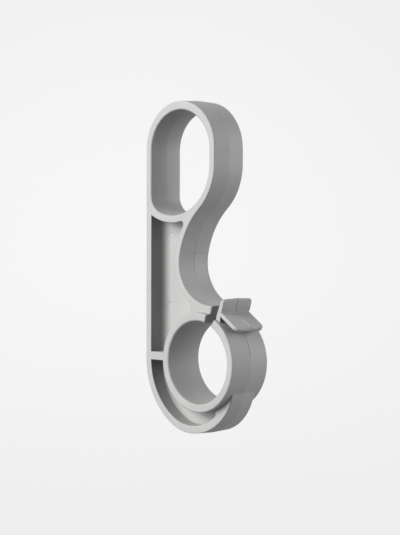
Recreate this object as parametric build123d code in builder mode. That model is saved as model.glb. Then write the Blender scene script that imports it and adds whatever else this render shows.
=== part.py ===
from build123d import *
import os
from math import acos, asin, atan2, cos, degrees, radians, sin, sqrt, tan

# Curtain rod bracket: one grey plastic moulding, millimetres.
# X runs from the spine to the thumb tab, Z up, Y through the depth with the front at minus Y.
# The origin is the middle of the rod ring. The front half is built once and mirrored at the
# mid plane, where the draft of both halves meets in the mould's parting ridge.

# The rod and its ring
rod_d = 25.0
rod_clearance = 0.25
ring_wall = 2.9
ring_depth = 14.9
ring_spread = 2.1
lead_in = 0.4
free_end_angle = 61.0

# The frame
depth = 13.1
draft_angle = 2.5
web = 2.2
spine_wall = 2.3
saddle_wall = 1.8
rib = 2.5
rib_height = 2.2
flange_gap = 7.6

# The hanging loop
loop_r = 14.9
loop_side = 4.7
loop_wall = 2.75
crown_wall = 3.2
shoulder_r = 18.4
slot_corner = 5.2

# The saddle above the ring
saddle_height = 30.3
saddle_offset = 4.4
saddle_clearance = 0.15
flare_turn = 169.0
neck_gap = 3.55
tip_angle = 75.0
tip_round = 0.7
pocket_turn = 235.0

# The heel, where the flange curls in to the ring
heel_start = -120.0
heel_shift = 6.75
heel_pocket = 74.0
taper_angle = 4.4

# The thumb tab
tab_depth = 12.6
foot_x = 7.15
foot_z = 14.2
foot_span = 8.0
foot_back = 1.0
arm_height = 5.7
arm_lean = 20.0
arm_tip = 0.95
arm_round = 0.35
arm_corner = 0.6
arm_root = 2.0
arm_hollow = 0.25
plate_rise = 1.4
plate_angle = 35.0
plate_length = 8.2
plate_thick = 1.3
plate_foot = 0.45
plate_round = 0.35
tab_corner = 2.0

# Roundings
edge_r = 0.3
floor_r = 1.6
floor_bevel = 0.8
pocket_corner = 1.0

# Sizes that follow from the ones above
half = depth / 2
ring_half = ring_depth / 2
bore_r = rod_d / 2 + rod_clearance
ring_r = bore_r + ring_wall
reach = ring_r + flange_gap
lean = tan(radians(draft_angle))
floor_y = web / 2
loop_x = loop_r - reach
right_x = loop_x + loop_r
saddle_r = rod_d / 2 + saddle_clearance
shoulder_x = right_x - shoulder_r
apart = saddle_r + shoulder_r + neck_gap
shoulder_z = saddle_height + sqrt(apart**2 - (saddle_offset - shoulder_x) ** 2)
loop_height = shoulder_z + loop_side
heel_r = reach - heel_shift
heel_x = heel_shift * cos(radians(heel_start))
heel_z = heel_shift * sin(radians(heel_start))
face_shift = half * lean
taper_start = saddle_offset - saddle_r - face_shift
pocket_x = -reach + face_shift + spine_wall
flange_in_r = -pocket_x
rib_low = rib_height - rib
spread = tan(radians(ring_spread))


def polar(x, z, r, angle):
    """Point at a radius and angle from a centre."""
    return (x + r * cos(radians(angle)), z + r * sin(radians(angle)))


def heading(x0, z0, x1, z1):
    """Angle of the line from the first point to the second, in degrees."""
    return degrees(atan2(z1 - z0, x1 - x0))


# The flare joins the shoulder of the loop and the saddle, tangent to both
touch = saddle_r + shoulder_r
out_x, out_z = polar(0, 0, 1, flare_turn - 180)
lean_in = (saddle_offset - shoulder_x) * out_x + (saddle_height - shoulder_z) * out_z
to_flare = (apart**2 - touch**2) / (2 * (touch - lean_in))
flare_r = saddle_r + to_flare
flare_x, flare_z = polar(saddle_offset, saddle_height, to_flare, flare_turn - 180)
flare_from = heading(flare_x, flare_z, shoulder_x, shoulder_z)

# The angle at which the outside of the heel crosses a circle about the ring's axis
inside_r = bore_r + ring_wall / 2
heel_cross = degrees(acos((inside_r**2 + heel_shift**2 - heel_r**2) / (2 * inside_r * heel_shift)))
heel_end = polar(0, 0, inside_r, heel_start + heel_cross)

# The saddle is drawn on to the middle of the slit, and the slit then trims its tip
slit_angle = (tip_angle + free_end_angle) / 2
along_x, along_z = polar(0, 0, 1, slit_angle)
along = saddle_offset * along_x + saddle_height * along_z
saddle_reach = along - sqrt(along**2 - saddle_offset**2 - saddle_height**2 + saddle_r**2)
end_x, end_z = polar(0, 0, saddle_reach, slit_angle)
saddle_turn = 360 + heading(saddle_offset, saddle_height, end_x, end_z)

# The slit that lets the ring spring open, radial on both sides
with BuildPart() as slit:
    with BuildSketch(Plane.XZ):
        with BuildLine():
            Polyline(
                polar(0, 0, bore_r - ring_wall, tip_angle),
                polar(0, 0, saddle_height, tip_angle),
                polar(0, 0, saddle_height, free_end_angle),
                polar(0, 0, bore_r - ring_wall, free_end_angle),
                close=True,
            )
        make_face()
    extrude(amount=ring_depth)

# The upper pocket, between spine, slot, saddle and ring, cut down to the web
with BuildPart() as pocket:
    with BuildSketch(Plane.XZ.offset(floor_y)):
        with BuildLine():
            wall_r = saddle_r + face_shift + saddle_wall
            back_r = flare_r + face_shift + saddle_wall
            ring_turn = degrees(asin(rib_height / inside_r))
            flare_in = CenterArc((flare_x, flare_z), back_r, flare_from, flare_turn - flare_from)
            wall_in = CenterArc(
                (saddle_offset, saddle_height), wall_r, flare_turn, pocket_turn - flare_turn
            )
            end_at = heading(0, 0, (wall_in @ 1).X, (wall_in @ 1).Y)
            end_in = Line(wall_in @ 1, polar(0, 0, inside_r, end_at))
            ring_in = CenterArc((0, 0), inside_r, end_at, 180 - ring_turn - end_at)
            rib_line = Line(ring_in @ 1, (pocket_x, rib_height))
            spine_in = Line(rib_line @ 1, (pocket_x, (flare_in @ 0).Y))
            top_in = Line(spine_in @ 1, flare_in @ 0)
        make_face()
        with Locations((shoulder_x, shoulder_z)):
            Circle(shoulder_r - face_shift, mode=Mode.SUBTRACT)
    extrude(amount=half)
    upright = edges().filter_by(Axis.Y).filter_by(lambda e: e.center().X > pocket_x + floor_r)
    fillet(upright.sort_by(Axis.Z)[-1], pocket_corner)
    fillet(faces().sort_by(Axis.Y)[-1].edges().sort_by(Axis.X)[0], floor_r)

# The lower pocket, between ring and flange
with BuildPart() as crescent:
    with BuildSketch(Plane.XZ.offset(floor_y)):
        with BuildLine():
            low_turn = degrees(asin(-rib_low / inside_r))
            low_start = degrees(asin(-rib_low / flange_in_r))
            flange_in = CenterArc(
                (0, 0), flange_in_r, 180 + low_start, 180 + heel_start - low_start
            )
            heel_in = CenterArc((heel_x, heel_z), flange_in_r - heel_shift, heel_start, heel_pocket)
            heel_stop = heading(0, 0, (heel_in @ 1).X, (heel_in @ 1).Y)
            stop_in = Line(heel_in @ 1, polar(0, 0, inside_r, heel_stop))
            ring_low = CenterArc((0, 0), inside_r, heel_stop, low_turn - 180 - heel_stop)
            rib_under = Line(ring_low @ 1, flange_in @ 0)
        make_face()
    extrude(amount=half)
    fillet(edges().filter_by(Axis.Y).sort_by(Axis.X)[-1], pocket_corner)
    chamfer(faces().sort_by(Axis.Y)[-1].edges().sort_by(Axis.Z)[0], floor_bevel)

# The rod ring, its faces spreading a little towards the free side, with a lead-in at the mouth
with BuildPart() as ring:
    with BuildSketch(Plane.XZ):
        Circle(ring_r)
    extrude(amount=ring_depth)
    draft(faces().filter_by(GeomType.CYLINDER), Plane.XZ, draft_angle)
    with BuildSketch(Plane.XZ):
        Circle(bore_r)
    extrude(amount=ring_depth, mode=Mode.SUBTRACT)
    with BuildSketch(Plane.XY.offset(-ring_r)):
        with BuildLine():
            Polyline(
                (-ring_r, 0),
                (-ring_r, ring_r * spread - ring_half),
                (ring_r, -ring_r * spread - ring_half),
                (ring_r, 0),
                close=True,
            )
        make_face()
    extrude(amount=2 * ring_r, mode=Mode.INTERSECT)
    mouth = faces().sort_by(Axis.Y)[0].edges().sort_by(SortBy.LENGTH)
    chamfer(mouth[0], lead_in)
    chamfer(mouth[1], edge_r)
    add(slit.part, mode=Mode.SUBTRACT)

# The thumb tab on the free end: foot, leaning arm and sloping plate
with BuildPart() as tab:
    with BuildSketch(Plane.XZ):
        with BuildLine():
            down_x = cos(radians(plate_angle))
            down_z = -sin(radians(plate_angle))
            arm_dx = arm_height * tan(radians(arm_lean))
            root_x = foot_x + arm_root
            root_z = foot_z + plate_rise
            tip_low_x = root_x + plate_length * down_x
            tip_low_z = root_z + plate_length * down_z
            under_x = root_x + plate_thick * down_z + plate_foot * down_x
            under_z = root_z - plate_thick * down_x + plate_foot * down_z
            foot_at = free_end_angle - foot_back
            foot_in = polar(0, 0, inside_r, foot_at)
            foot_out = polar(0, 0, inside_r, foot_at - foot_span)
            arm_left = Line((foot_x, foot_z), (foot_x + arm_dx, foot_z + arm_height))
            arm_top = Line(arm_left @ 1, (foot_x + arm_dx + arm_tip, foot_z + arm_height))
            arm_right = SagittaArc(arm_top @ 1, (root_x, root_z), arm_hollow)
            plate_top = Line(arm_right @ 1, (tip_low_x, tip_low_z))
            plate_end = Line(
                plate_top @ 1, (tip_low_x + plate_thick * down_z, tip_low_z - plate_thick * down_x)
            )
            plate_low = Line(plate_end @ 1, (under_x, under_z))
            foot_right = Line(plate_low @ 1, foot_out)
            foot_low = Line(foot_out, foot_in)
            foot_left = Line(foot_in, (foot_x, foot_z))
        make_face()
    extrude(amount=tab_depth / 2)
    draft(faces().sort_by(Axis.Z)[-1], Plane.XZ, draft_angle)
    crest = faces().sort_by(Axis.Z)[-1].edges()
    chamfer(crest.sort_by(Axis.Y)[0], arm_corner)
    crest = faces().sort_by(Axis.Z)[-1].edges().sort_by(Axis.X)
    fillet(crest[:1] + crest[-1:], arm_round)
    fillet(faces().sort_by(Axis.X)[-1].edges().sort_by(Axis.Y)[0], tab_corner)
    fillet(faces().sort_by(Axis.X)[-1].edges().filter_by(Axis.Y), plate_round)

with BuildPart() as bracket:
    # The frame's outline: spine, loop, shoulder, flare, saddle, tip, then round to heel and flange
    with BuildSketch(Plane.XZ):
        with BuildLine():
            spine = Line((-reach, 0), (-reach, loop_height))
            crown = CenterArc((loop_x, loop_height), loop_r, 180, -180)
            side = Line(crown @ 1, (right_x, shoulder_z))
            shoulder = CenterArc((shoulder_x, shoulder_z), shoulder_r, 0, flare_from - 180)
            flare = CenterArc((flare_x, flare_z), flare_r, flare_from, flare_turn - flare_from)
            saddle = CenterArc(
                (saddle_offset, saddle_height), saddle_r, flare_turn, saddle_turn - flare_turn
            )
            tip = Line(saddle @ 1, (0, 0))
            inside = Line(tip @ 1, heel_end)
            heel_at = heading(heel_x, heel_z, heel_end[0], heel_end[1])
            heel = CenterArc((heel_x, heel_z), heel_r, heel_at, heel_start - heel_at)
            flange = CenterArc((0, 0), reach, heel_start, -180 - heel_start)
        make_face()
        # The hanging slot follows the loop inside
        with BuildLine():
            slot_x = -reach + loop_wall
            slot_rise = loop_height + loop_wall - crown_wall
            slot_r = shoulder_r - loop_wall
            corner_x = slot_x + slot_corner
            fall = sqrt((slot_r - slot_corner) ** 2 - (corner_x - shoulder_x) ** 2)
            corner_z = shoulder_z - fall
            corner_at = heading(shoulder_x, shoulder_z, corner_x, corner_z)
            slot_left = Line((slot_x, corner_z), (slot_x, slot_rise))
            slot_top = CenterArc((loop_x, slot_rise), loop_r - loop_wall, 180, -180)
            slot_right = Line(slot_top @ 1, (right_x - loop_wall, shoulder_z))
            slot_low = CenterArc((shoulder_x, shoulder_z), slot_r, 0, corner_at)
            slot_turn = CenterArc((corner_x, corner_z), slot_corner, corner_at, -180 - corner_at)
        make_face(mode=Mode.SUBTRACT)
    extrude(amount=half)
    chamfer(faces().sort_by(Axis.Y)[0].inner_wires().edges(), face_shift + edge_r)
    draft(faces().filter_by(lambda f: abs(f.normal_at().Y) < lean), Plane.XZ, draft_angle)

    # Soft front edges round the outside
    fillet(faces().sort_by(Axis.Y)[0].outer_wire().edges(), edge_r)

    # Below the saddle the frame thins towards the tip and the heel
    with BuildSketch(Plane.XY.offset(-reach)):
        with BuildLine():
            thin = (reach - taper_start) * tan(radians(taper_angle))
            Polyline(
                (taper_start, -half),
                (reach, thin - half),
                (reach, -depth),
                (taper_start, -depth),
                close=True,
            )
        make_face()
    extrude(amount=reach + saddle_height, mode=Mode.SUBTRACT)

    # The slit leaves a rounded tip
    add(slit.part, mode=Mode.SUBTRACT)
    edge_x, edge_z = polar(0, 0, inside_r, tip_angle)
    fillet(edges().sort_by_distance((edge_x, -half, edge_z))[0], tip_round)

    # The two pockets, and room for the rod
    add(pocket.part, mode=Mode.SUBTRACT)
    add(crescent.part, mode=Mode.SUBTRACT)
    with BuildSketch(Plane.XZ):
        Circle(bore_r)
    extrude(amount=half, mode=Mode.SUBTRACT)

    # The ring, the thumb tab and the back half
    add(ring.part)
    add(tab.part)
    mirror(about=Plane.XZ)

bracket.part.label = "bracket"
os.makedirs("parts", exist_ok=True)
export_step(bracket.part, "parts/bracket.step")
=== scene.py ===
# %% [markdown]
# # A moulded curtain rod bracket
# The bracket is one piece of grey plastic: a hanging loop, an open saddle, and a split ring that
# springs around the rod. The solid model already carries the whole shape, so this lesson loads it,
# gives it the finish of a moulded part, and sets up the camera and a plain studio around it.

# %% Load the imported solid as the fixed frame
import math

import bpy
import numpy as np
from mathutils import Matrix, Vector

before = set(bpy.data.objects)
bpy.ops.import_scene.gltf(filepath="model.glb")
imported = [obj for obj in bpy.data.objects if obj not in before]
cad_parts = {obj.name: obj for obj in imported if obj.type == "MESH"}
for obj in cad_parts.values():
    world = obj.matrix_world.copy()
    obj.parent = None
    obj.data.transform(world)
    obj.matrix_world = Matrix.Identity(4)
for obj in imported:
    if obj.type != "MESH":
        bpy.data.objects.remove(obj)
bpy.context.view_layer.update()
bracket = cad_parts["bracket"]

# %% [markdown]
# ## The camera
# The photograph was taken with a long lens, almost level with the bracket and turned towards its
# open side. The camera is placed by its own axes: `back` points from the bracket to the lens, and
# a very small roll turns the picture. The lens is given in pixels of a 400 by 535 picture and then
# turned into millimetres on a 36 mm sensor, which Blender lays along the longer side.

# %% Camera from its angles and its place
PICTURE_HEIGHT = 535
SENSOR_MM = 36.0
FOCAL_PIXELS = 1710.04
VIEW_AZIMUTH = math.radians(43.864)
VIEW_ELEVATION = math.radians(1.997)
VIEW_ROLL = math.radians(0.128)
CAMERA_PLACE = (0.36169, -0.38234, 0.04729)


def camera_axes(azimuth, elevation, roll):
    """Right, up and back: back = (sin a cos e, -cos a cos e, sin e), right is level, then both roll."""
    back = Vector((
        math.sin(azimuth) * math.cos(elevation),
        -math.cos(azimuth) * math.cos(elevation),
        math.sin(elevation),
    ))
    level = Vector((math.cos(azimuth), math.sin(azimuth), 0.0))
    upright = back.cross(level)
    right = math.cos(roll) * level + math.sin(roll) * upright
    up = math.cos(roll) * upright - math.sin(roll) * level
    return right, up, back


camera_data = bpy.data.cameras.new("camera")
camera_data.sensor_width = SENSOR_MM
camera_data.lens = FOCAL_PIXELS / PICTURE_HEIGHT * SENSOR_MM
camera = bpy.data.objects.new("camera", camera_data)
bpy.context.scene.collection.objects.link(camera)
turn = Matrix(camera_axes(VIEW_AZIMUTH, VIEW_ELEVATION, VIEW_ROLL)).transposed().to_4x4()
camera.matrix_world = Matrix.Translation(CAMERA_PLACE) @ turn
bpy.context.scene.camera = camera
print("lens %.2f mm" % camera_data.lens)

# %% [markdown]
# ## The studio sweep
# The bracket hangs in front of a pale sweep: a floor that curves up into a wall, so there is no
# edge behind the part. A sweep is a profile carried along a straight path, which is one grid of
# points. It stands well below and behind the bracket, as in a photographer's studio.

# %% Floor and wall as one swept profile
FLOOR_Z = -0.32
SWEEP_HALF_WIDTH = 4.0
SWEEP_FRONT = 4.0
SWEEP_BACK = 1.6
SWEEP_RADIUS = 1.2
SWEEP_HEIGHT = 4.0
CURVE_STEPS = 25
SIDE_STEPS = 9


def grid_mesh(name, points):
    """A mesh from an array of points with shape (rows, columns, 3); each cell becomes one quad."""
    rows, columns = points.shape[:2]
    index = np.arange(rows * columns).reshape(rows, columns)
    quads = np.stack(
        [index[:-1, :-1], index[:-1, 1:], index[1:, 1:], index[1:, :-1]], axis=-1
    ).reshape(-1, 4)
    mesh = bpy.data.meshes.new(name)
    mesh.from_pydata(points.reshape(-1, 3).tolist(), [], quads.tolist())
    mesh.polygons.foreach_set("use_smooth", np.ones(len(mesh.polygons), dtype=bool))
    mesh.update()
    return mesh


def sweep_points(away):
    """Profile (s, z): flat floor, a quarter circle of SWEEP_RADIUS, then a wall; carried sideways.

    s runs along the level direction `away` from the camera, and the path is square to it."""
    quarter = np.linspace(0.0, np.pi / 2, CURVE_STEPS)
    s = np.concatenate([
        [-SWEEP_FRONT], SWEEP_BACK + SWEEP_RADIUS * np.sin(quarter), [SWEEP_BACK + SWEEP_RADIUS]
    ])
    z = FLOOR_Z + np.concatenate([[0.0], SWEEP_RADIUS * (1 - np.cos(quarter)), [SWEEP_HEIGHT]])
    side = np.linspace(-SWEEP_HALF_WIDTH, SWEEP_HALF_WIDTH, SIDE_STEPS)
    x = s[:, None] * away[0] - side[None, :] * away[1]
    y = s[:, None] * away[1] + side[None, :] * away[0]
    return np.stack([x, y, np.broadcast_to(z[:, None], x.shape)], axis=-1)


away = (-math.sin(VIEW_AZIMUTH), math.cos(VIEW_AZIMUTH))
sweep = bpy.data.objects.new("studio_sweep", grid_mesh("studio_sweep", sweep_points(away)))
bpy.context.scene.collection.objects.link(sweep)
print("sweep:", len(sweep.data.polygons), "faces")

# %% [markdown]
# ## Helpers for node materials
# A finish in Blender is a tree of nodes. Building one by hand takes many lines for each node, so a few
# small helpers add a node, set or link its inputs, and hand back the socket that goes on to the next.

# %% Helpers for node materials
def new_material(name):
    """A fresh node material with an empty tree."""
    material = bpy.data.materials.new(name)
    material.use_nodes = True
    tree = material.node_tree
    tree.nodes.clear()
    return material, tree


def set_inputs(tree, node, inputs):
    """Links each named or numbered input given as a socket, and sets the others to their value."""
    for key, value in inputs.items():
        if isinstance(value, bpy.types.NodeSocket):
            tree.links.new(value, node.inputs[key])
        else:
            node.inputs[key].default_value = value


def add_node(tree, kind, inputs=None, **settings):
    """Adds a node, sets its properties, and sets or links its inputs."""
    node = tree.nodes.new(kind)
    for key, value in settings.items():
        setattr(node, key, value)
    set_inputs(tree, node, inputs or {})
    return node


def calculate(tree, operation, *values):
    """One Math node on numbers or sockets; gives its result socket."""
    return add_node(tree, "ShaderNodeMath", dict(enumerate(values)), operation=operation).outputs[0]


def vector(tree, operation, *values):
    """One Vector Math node on vectors or sockets; gives the node, for its Vector or Value output."""
    return add_node(tree, "ShaderNodeVectorMath", dict(enumerate(values)), operation=operation)


def ramp(tree, value, low, high, at_low=0.0, at_high=1.0):
    """Smooth step from at_low to at_high while the value goes from low to high."""
    inputs = {"Value": value, "From Min": low, "From Max": high, "To Min": at_low, "To Max": at_high}
    return add_node(tree, "ShaderNodeMapRange", inputs, interpolation_type="SMOOTHSTEP").outputs[0]


def blend_colour(tree, factor, first, second):
    """A colour from first to second by the factor; 6, 7 and 2 are the node's colour sockets."""
    inputs = {0: factor, 6: first, 7: second}
    return add_node(tree, "ShaderNodeMix", inputs, data_type="RGBA").outputs[2]


def background_rays(tree):
    """1 for rays that should see the plain background: camera, mirror-like and see-through ones."""
    path = add_node(tree, "ShaderNodeLightPath")
    seen = calculate(tree, "MAXIMUM", path.outputs["Is Camera Ray"], path.outputs["Is Glossy Ray"])
    return calculate(tree, "MAXIMUM", seen, path.outputs["Is Transmission Ray"])


print("helpers ready")

# %% [markdown]
# ## The pale background
# In the photograph the background is nearly white, brightest beside the bracket, and falls off gently
# to the corners. The sweep takes most of that from a colour that only the camera, mirror-like and
# see-through rays meet, and keeps a small share of plain diffuse shading for a shadow. For all other
# rays it is a dark grey, so that it throws little light up at the bracket's undersides. The fall-off
# is a painted pool of light, worked out from the place on the sweep as the distance from a bright
# middle.

# %% Background finish
PAPER_BRIGHT = (0.990, 0.990, 0.990, 1.0)
PAPER_EDGE = (0.915, 0.915, 0.915, 1.0)
PAPER_GREY = (0.15, 0.15, 0.15, 1.0)
GLOW_SHARE = 0.92
GLOW_SIDE = -0.12
GLOW_BACK = 2.4
GLOW_HEIGHT = 0.02
GLOW_REACH = 1.0

sweep_finish, tree = new_material("studio_paper")
place = add_node(tree, "ShaderNodeTexCoord").outputs["Object"]
glow_middle = (
    GLOW_BACK * away[0] + GLOW_SIDE * away[1],
    GLOW_BACK * away[1] - GLOW_SIDE * away[0],
    GLOW_HEIGHT,
)
# Painted pool of light: the colour is brightest at the glow's middle and falls off with distance.
from_middle = vector(tree, "DISTANCE", place, glow_middle).outputs["Value"]
fall = ramp(tree, from_middle, 0.0, GLOW_REACH)
painted_glow_colour = blend_colour(tree, fall, PAPER_BRIGHT, PAPER_EDGE)
rays = background_rays(tree)
paper_own = blend_colour(tree, rays, PAPER_GREY, painted_glow_colour)
paper = add_node(tree, "ShaderNodeBsdfDiffuse", {"Color": paper_own})
glow = add_node(tree, "ShaderNodeEmission", {"Color": painted_glow_colour, "Strength": 1.0})
share = calculate(tree, "MULTIPLY", rays, GLOW_SHARE)
seen = add_node(tree, "ShaderNodeMixShader", {0: share, 1: paper.outputs[0], 2: glow.outputs[0]})
add_node(tree, "ShaderNodeOutputMaterial", {"Surface": seen.outputs[0]})
sweep.data.materials.append(sweep_finish)
print("sweep finish:", sweep_finish.name)

# %% [markdown]
# ## The air around
# From the side or from behind, the camera can look past the sweep. There the world shows the colour of
# the sweep's far parts, so no edge is seen. Only the camera, mirror-like and see-through rays meet it,
# so beside a faint reflection it gives the bracket no light.

# %% World in the sweep's colour
world = bpy.data.worlds.new("studio_air")
bpy.context.scene.world = world
world.use_nodes = True
tree = world.node_tree
tree.nodes.clear()
level = calculate(tree, "MULTIPLY", background_rays(tree), GLOW_SHARE)
air = add_node(tree, "ShaderNodeBackground", {"Color": PAPER_EDGE, "Strength": level})
add_node(tree, "ShaderNodeOutputWorld", {"Surface": air.outputs[0]})
print("world:", world.name)

# %% [markdown]
# ## Soft studio lights
# The front faces of the bracket are the brightest, the faces turned to the right are about half as
# bright, and the undersides are darker still. Two large lamps in front and a little to the left do
# most of the work. A weaker one at the right lights the side faces, and one behind opens the insides.

# %% Area lights around the bracket
MIDDLE = Vector((-0.004, 0.0, 0.029))
LAMP_DISTANCE = 1.1
LAMP_SIZE = 0.6


def soft_light(name, azimuth, elevation, power):
    """A square lamp LAMP_DISTANCE from the bracket's middle and turned to it; angles in degrees, watts.

    It stands along out = (sin a cos e, -cos a cos e, sin e), as the camera does."""
    data = bpy.data.lights.new(name, "AREA")
    data.shape = "SQUARE"
    data.size = LAMP_SIZE
    data.energy = power
    light = bpy.data.objects.new(name, data)
    a = math.radians(azimuth)
    e = math.radians(elevation)
    out = Vector((math.sin(a) * math.cos(e), -math.cos(a) * math.cos(e), math.sin(e)))
    light.location = MIDDLE + LAMP_DISTANCE * out
    light.rotation_euler = out.to_track_quat("Z", "Y").to_euler()
    bpy.context.scene.collection.objects.link(light)


soft_light("key", azimuth=-15, elevation=32, power=16.0)
soft_light("front", azimuth=-15, elevation=10, power=11.4)
soft_light("right", azimuth=100, elevation=10, power=4.9)
soft_light("back", azimuth=150, elevation=10, power=8.0)
print("lamps:", len(bpy.data.lights))

# %% [markdown]
# ## The skin of a moulded part
# Moulded plastic copies the mould. A spark-worn mould leaves a fine grain, the plastic's flow leaves
# soft clouds of lighter and darker grey, and pulling the part out leaves faint drag lines along the
# way it moved, which here is Y. Three noises on the place in metres give these, in one node group.

# %% Skin as a node group
CLOUD_SCALE = 85.0
CLOUD_LOW = 0.3
CLOUD_HIGH = 0.7
GRAIN_SCALE = 2600.0
DRAG_ACROSS = 900.0
DRAG_ALONG = 60.0
FINE_DETAIL = 3.0
NOISE_MIDDLE = 0.5


def new_group(name, inputs, outputs):
    """A shader node group with named sockets; gives its tree, its inputs and its output node."""
    tree = bpy.data.node_groups.new(name, "ShaderNodeTree")
    for title, kind in inputs.items():
        tree.interface.new_socket(title, in_out="INPUT", socket_type="NodeSocket" + kind)
    for title, kind in outputs.items():
        tree.interface.new_socket(title, in_out="OUTPUT", socket_type="NodeSocket" + kind)
    given = tree.nodes.new("NodeGroupInput").outputs
    result = tree.nodes.new("NodeGroupOutput").inputs
    return tree, given, result


def use_group(tree, group, inputs):
    """Places a node group in a tree with its own values; gives its outputs."""
    node = tree.nodes.new("ShaderNodeGroup")
    node.node_tree = group
    set_inputs(tree, node, inputs)
    return node.outputs


def noise(tree, place, scale, detail=2.0):
    """Smooth noise of one scale, NOISE_MIDDLE on average."""
    inputs = {"Vector": place, "Scale": scale, "Detail": detail}
    return add_node(tree, "ShaderNodeTexNoise", inputs).outputs["Fac"]


def moulded_skin():
    """Clouds, drag and grain: three noises, the second stretched along Y by scaling the place."""
    tree, given, result = new_group(
        "moulded_skin", {"Place": "Vector"}, {"Clouds": "Float", "Drag": "Float", "Grain": "Float"}
    )
    place = given["Place"]
    stretched = vector(tree, "MULTIPLY", place, (DRAG_ACROSS, DRAG_ALONG, DRAG_ACROSS))
    clouds = noise(tree, place, CLOUD_SCALE, FINE_DETAIL)
    tree.links.new(ramp(tree, clouds, CLOUD_LOW, CLOUD_HIGH), result["Clouds"])
    tree.links.new(noise(tree, stretched.outputs["Vector"], 1.0), result["Drag"])
    tree.links.new(noise(tree, place, GRAIN_SCALE, FINE_DETAIL), result["Grain"])
    return tree


skin_group = moulded_skin()
print("group:", skin_group.name)

# %% [markdown]
# ## The parting line
# The two halves of the mould met at the mid plane, Y = 0, and left a thin line there on every wall
# that crosses it. It wanders a little: the distance from the mid plane, less a slow noise, gives the
# line. It doesn't show everywhere, so a second group gives a soft ball around a place, and the line
# is drawn where it runs through such a ball.

# %% Parting line and its stretches as node groups
WANDER_SCALE = 260.0
FAINT_SCALE = 75.0
FAINT_LOW = 0.38
FAINT_HIGH = 0.68
LINE_CORE = 0.4
STRETCH_CORE = 0.55


def parting_line():
    """Line = 1 where |y - wander * (noise - 1/2)| is under the width; Faint is a slow noise, 0 to 1."""
    tree, given, result = new_group(
        "parting_line",
        {"Place": "Vector", "Width": "Float", "Wander": "Float"},
        {"Line": "Float", "Faint": "Float"},
    )
    across = add_node(tree, "ShaderNodeSeparateXYZ", {0: given["Place"]}).outputs["Y"]
    sway = calculate(tree, "SUBTRACT", noise(tree, given["Place"], WANDER_SCALE), NOISE_MIDDLE)
    off = calculate(tree, "SUBTRACT", across, calculate(tree, "MULTIPLY", sway, given["Wander"]))
    core = calculate(tree, "MULTIPLY", given["Width"], LINE_CORE)
    line = ramp(tree, calculate(tree, "ABSOLUTE", off), core, given["Width"], 1.0, 0.0)
    faint = ramp(tree, noise(tree, given["Place"], FAINT_SCALE), FAINT_LOW, FAINT_HIGH)
    tree.links.new(line, result["Line"])
    tree.links.new(faint, result["Faint"])
    return tree


def line_stretch():
    """Mask = Strength in the core of a ball around Middle, and falls smoothly to 0 at Reach."""
    tree, given, result = new_group(
        "line_stretch",
        {"Place": "Vector", "Middle": "Vector", "Reach": "Float", "Strength": "Float"},
        {"Mask": "Float"},
    )
    off = vector(tree, "DISTANCE", given["Place"], given["Middle"]).outputs["Value"]
    core = calculate(tree, "MULTIPLY", given["Reach"], STRETCH_CORE)
    mask = ramp(tree, off, core, given["Reach"], given["Strength"], 0.0)
    tree.links.new(mask, result["Mask"])
    return tree


parting_group = parting_line()
stretch_group = line_stretch()
print("groups:", parting_group.name, stretch_group.name)

# %% [markdown]
# ## Pin marks on the web
# Ejector pins push the part out of the mould and leave round marks. Two show on the thin web between
# the spine and the saddle, mostly on their upper left side. The ring is pressed in by the bump, and
# its colour is painted darker there as shade. A mark is a ring: the distance from its middle, seen
# along Y, less the ring's radius. How far the place lies towards the upper left fades it out on the
# other side. One group makes a mark, and the plastic places it once for each pin.

# %% Pin mark as a node group
PIN_RADIUS = 0.00175
PIN_WIDTH = 0.00024
PIN_PLACES = ((-0.0171, 0.0, 0.0378), (-0.0174, 0.0, 0.0160))
PIN_LEAN = (-0.85, 0.0, 0.53)
PIN_FADED = -0.4
PIN_FULL = 0.9


def pin_mark():
    """Ring = 1 where | |p - middle| - radius | < width, faded by (p - middle) . lean / radius."""
    tree, given, result = new_group(
        "pin_mark",
        {"Place": "Vector", "Middle": "Vector", "Radius": "Float", "Width": "Float"},
        {"Ring": "Float"},
    )
    flat = vector(tree, "MULTIPLY", given["Place"], (1.0, 0.0, 1.0)).outputs["Vector"]
    out = vector(tree, "SUBTRACT", flat, given["Middle"]).outputs["Vector"]
    from_middle = vector(tree, "LENGTH", out).outputs["Value"]
    off = calculate(tree, "ABSOLUTE", calculate(tree, "SUBTRACT", from_middle, given["Radius"]))
    ring = ramp(tree, off, 0.0, given["Width"], 1.0, 0.0)
    along = vector(tree, "DOT_PRODUCT", out, PIN_LEAN).outputs["Value"]
    shown = ramp(tree, calculate(tree, "DIVIDE", along, given["Radius"]), PIN_FADED, PIN_FULL)
    tree.links.new(calculate(tree, "MULTIPLY", ring, shown), result["Ring"])
    return tree


pin_group = pin_mark()
print("group:", pin_group.name)

# %% [markdown]
# ## Where the marks lie
# The parting line is painted dark as shade where its edge faces away from the light, and painted pale
# as a highlight where its ridge catches the light. It is strongest on the ring beside the tab and on
# the tab itself, where it also wanders the most. Each row gives the middle of a stretch in metres, how
# far it reaches, and how strong it is.

# %% Tables of the line's stretches
# Stretches where the line is painted dark as shade.
SHADE_STRETCHES = (
    ((0.0143, 0.0, 0.0056), 0.0050, 0.85),
    ((-0.0081, 0.0, 0.0311), 0.0070, 0.55),
    ((0.0036, 0.0, 0.0535), 0.0080, 0.25),
    ((0.0015, 0.0, 0.0755), 0.0060, 0.35),
)
# Stretches where the line is painted pale as a highlight.
HIGHLIGHT_STRETCHES = (
    ((-0.0073, 0.0005, -0.0104), 0.0030, 0.45),
    ((0.0137, 0.0, -0.0073), 0.0018, 0.40),
)
# The tab's own stretches of painted shade and painted highlight.
TAB_SHADE = (
    ((0.0098, 0.0, 0.0175), 0.0032, 0.95),
    ((0.0154, 0.0, 0.0104), 0.0014, 0.90),
)
TAB_HIGHLIGHT = (((0.0136, 0.0, 0.0126), 0.0021, 1.0),)


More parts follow.
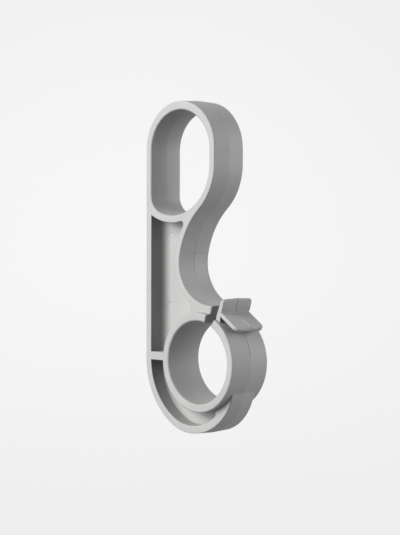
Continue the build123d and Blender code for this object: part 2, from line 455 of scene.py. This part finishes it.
def strongest(tree, place, stretches):
    """The largest of the masks of several stretches."""
    result = 0.0
    for middle, reach, strength in stretches:
        inputs = {"Place": place, "Middle": middle, "Reach": reach, "Strength": strength}
        mask = use_group(tree, stretch_group, inputs)["Mask"]
        result = calculate(tree, "MAXIMUM", result, mask)
    return result


print("stretches:", len(SHADE_STRETCHES + HIGHLIGHT_STRETCHES + TAB_SHADE + TAB_HIGHLIGHT))

# %% [markdown]
# ## The marks on the plastic
# The finish starts with masks: where the parting line is painted dark as shade and pale as a highlight,
# and where the pin marks lie. The line is placed twice, once nearly straight for the whole part and once
# with a wide wander for the tab. Outside its stretches it stays very faint.

# %% Masks of the lines and marks
LINE_FAINT = 0.12
PARTING_WIDTH = 0.00016
PARTING_WANDER = 0.0005
TAB_WANDER = 0.0040

plastic, tree = new_material("moulded_grey_plastic")
place = add_node(tree, "ShaderNodeTexCoord").outputs["Object"]
line_inputs = {"Place": place, "Width": PARTING_WIDTH}
long_line = use_group(tree, parting_group, {**line_inputs, "Wander": PARTING_WANDER})
tab_line = use_group(tree, parting_group, {**line_inputs, "Wander": TAB_WANDER})

# The line's painted shade, strongest in its stretches and faint elsewhere, and its painted highlight.
faint = calculate(tree, "MULTIPLY", long_line["Faint"], LINE_FAINT)
long_shade = calculate(tree, "MAXIMUM", strongest(tree, place, SHADE_STRETCHES), faint)
dark = calculate(
    tree, "MAXIMUM",
    calculate(tree, "MULTIPLY", long_line["Line"], long_shade),
    calculate(tree, "MULTIPLY", tab_line["Line"], strongest(tree, place, TAB_SHADE)),
)
pale = calculate(
    tree, "MAXIMUM",
    calculate(tree, "MULTIPLY", long_line["Line"], strongest(tree, place, HIGHLIGHT_STRETCHES)),
    calculate(tree, "MULTIPLY", tab_line["Line"], strongest(tree, place, TAB_HIGHLIGHT)),
)

# Pin rings, painted darker as shade on their upper left side.
pins = 0.0
for middle in PIN_PLACES:
    inputs = {"Place": place, "Middle": middle, "Radius": PIN_RADIUS, "Width": PIN_WIDTH}
    pins = calculate(tree, "MAXIMUM", pins, use_group(tree, pin_group, inputs)["Ring"])
print("masks: dark and pale lines,", len(PIN_PLACES), "pin marks")

# %% [markdown]
# ## The colour of the plastic
# The plastic is a neutral grey. Clouds and drag lines shift it a little between two close greys, and the
# marks are laid over it one after the other: painted shade on the pins and the line, and the line's
# painted highlight last.

# %% Colour
GREY_DARK = (0.281, 0.286, 0.279, 1.0)
GREY_LIGHT = (0.314, 0.319, 0.312, 1.0)
CLOUD_SHARE = 0.7
DRAG_SHARE = 0.3
# Colours of the painted shade on the line and pins, and of the line's painted highlight.
PAINTED_SHADE_GREY = (0.085, 0.086, 0.083, 1.0)
LINE_HIGHLIGHT = (0.64, 0.64, 0.63, 1.0)
PIN_SHADE = 0.45

skin = use_group(tree, skin_group, {"Place": place})
tone = calculate(
    tree, "ADD",
    calculate(tree, "MULTIPLY", skin["Clouds"], CLOUD_SHARE),
    calculate(tree, "MULTIPLY", skin["Drag"], DRAG_SHARE),
)
grey = blend_colour(tree, tone, GREY_DARK, GREY_LIGHT)
# Painted shade on the pin rings.
grey = blend_colour(tree, calculate(tree, "MULTIPLY", pins, PIN_SHADE), grey, PAINTED_SHADE_GREY)
# Painted shade on the parting line, then its painted highlight.
grey = blend_colour(tree, dark, grey, PAINTED_SHADE_GREY)
grey = blend_colour(tree, pale, grey, LINE_HIGHLIGHT)
print("colour between", GREY_DARK[:3], "and", GREY_LIGHT[:3])

# %% [markdown]
# ## The surface of the plastic
# A satin gloss changes a little with the clouds and drag lines. The bevel node turns the normal close to
# an edge, so that edges catch the light as if slightly worn. On top of that come the fine grain and the
# marks: the pale line stands up and the pins are pressed in. All lengths are in metres.

# %% Gloss, bump and shader
ROUGH_LOW = 0.50
ROUGH_HIGH = 0.62
EDGE_WEAR = 0.0005
EDGE_SAMPLES = 6
GRAIN_STRENGTH = 0.10
GRAIN_DEPTH = 0.00012
MARK_STRENGTH = 0.5
MARK_DEPTH = 0.00006
PIN_DEEP = 0.6
PLASTIC_IOR = 1.46
PLASTIC_SHINE = 0.35

both_noises = calculate(tree, "ADD", skin["Clouds"], skin["Drag"])
gloss = ramp(tree, both_noises, 0.0, 2.0, ROUGH_LOW, ROUGH_HIGH)
worn = add_node(tree, "ShaderNodeBevel", {"Radius": EDGE_WEAR}, samples=EDGE_SAMPLES)
grain = add_node(tree, "ShaderNodeBump", {
    "Strength": GRAIN_STRENGTH,
    "Distance": GRAIN_DEPTH,
    "Height": skin["Grain"],
    "Normal": worn.outputs["Normal"],
})
raised = calculate(tree, "SUBTRACT", pale, calculate(tree, "MULTIPLY", pins, PIN_DEEP))
marks = add_node(tree, "ShaderNodeBump", {
    "Strength": MARK_STRENGTH,
    "Distance": MARK_DEPTH,
    "Height": raised,
    "Normal": grain.outputs["Normal"],
})
surface = add_node(tree, "ShaderNodeBsdfPrincipled", {
    "Base Color": grey,
    "Roughness": gloss,
    "IOR": PLASTIC_IOR,
    "Specular IOR Level": PLASTIC_SHINE,
    "Normal": marks.outputs["Normal"],
})
add_node(tree, "ShaderNodeOutputMaterial", {"Surface": surface.outputs[0]})
bracket.data.materials.clear()
bracket.data.materials.append(plastic)
print("finish:", plastic.name, "with", len(tree.nodes), "nodes")

# %% [markdown]
# ## Closing
# The render's view transform is set to Standard.

# %% Set the view transform
bpy.context.scene.view_settings.view_transform = "Standard"
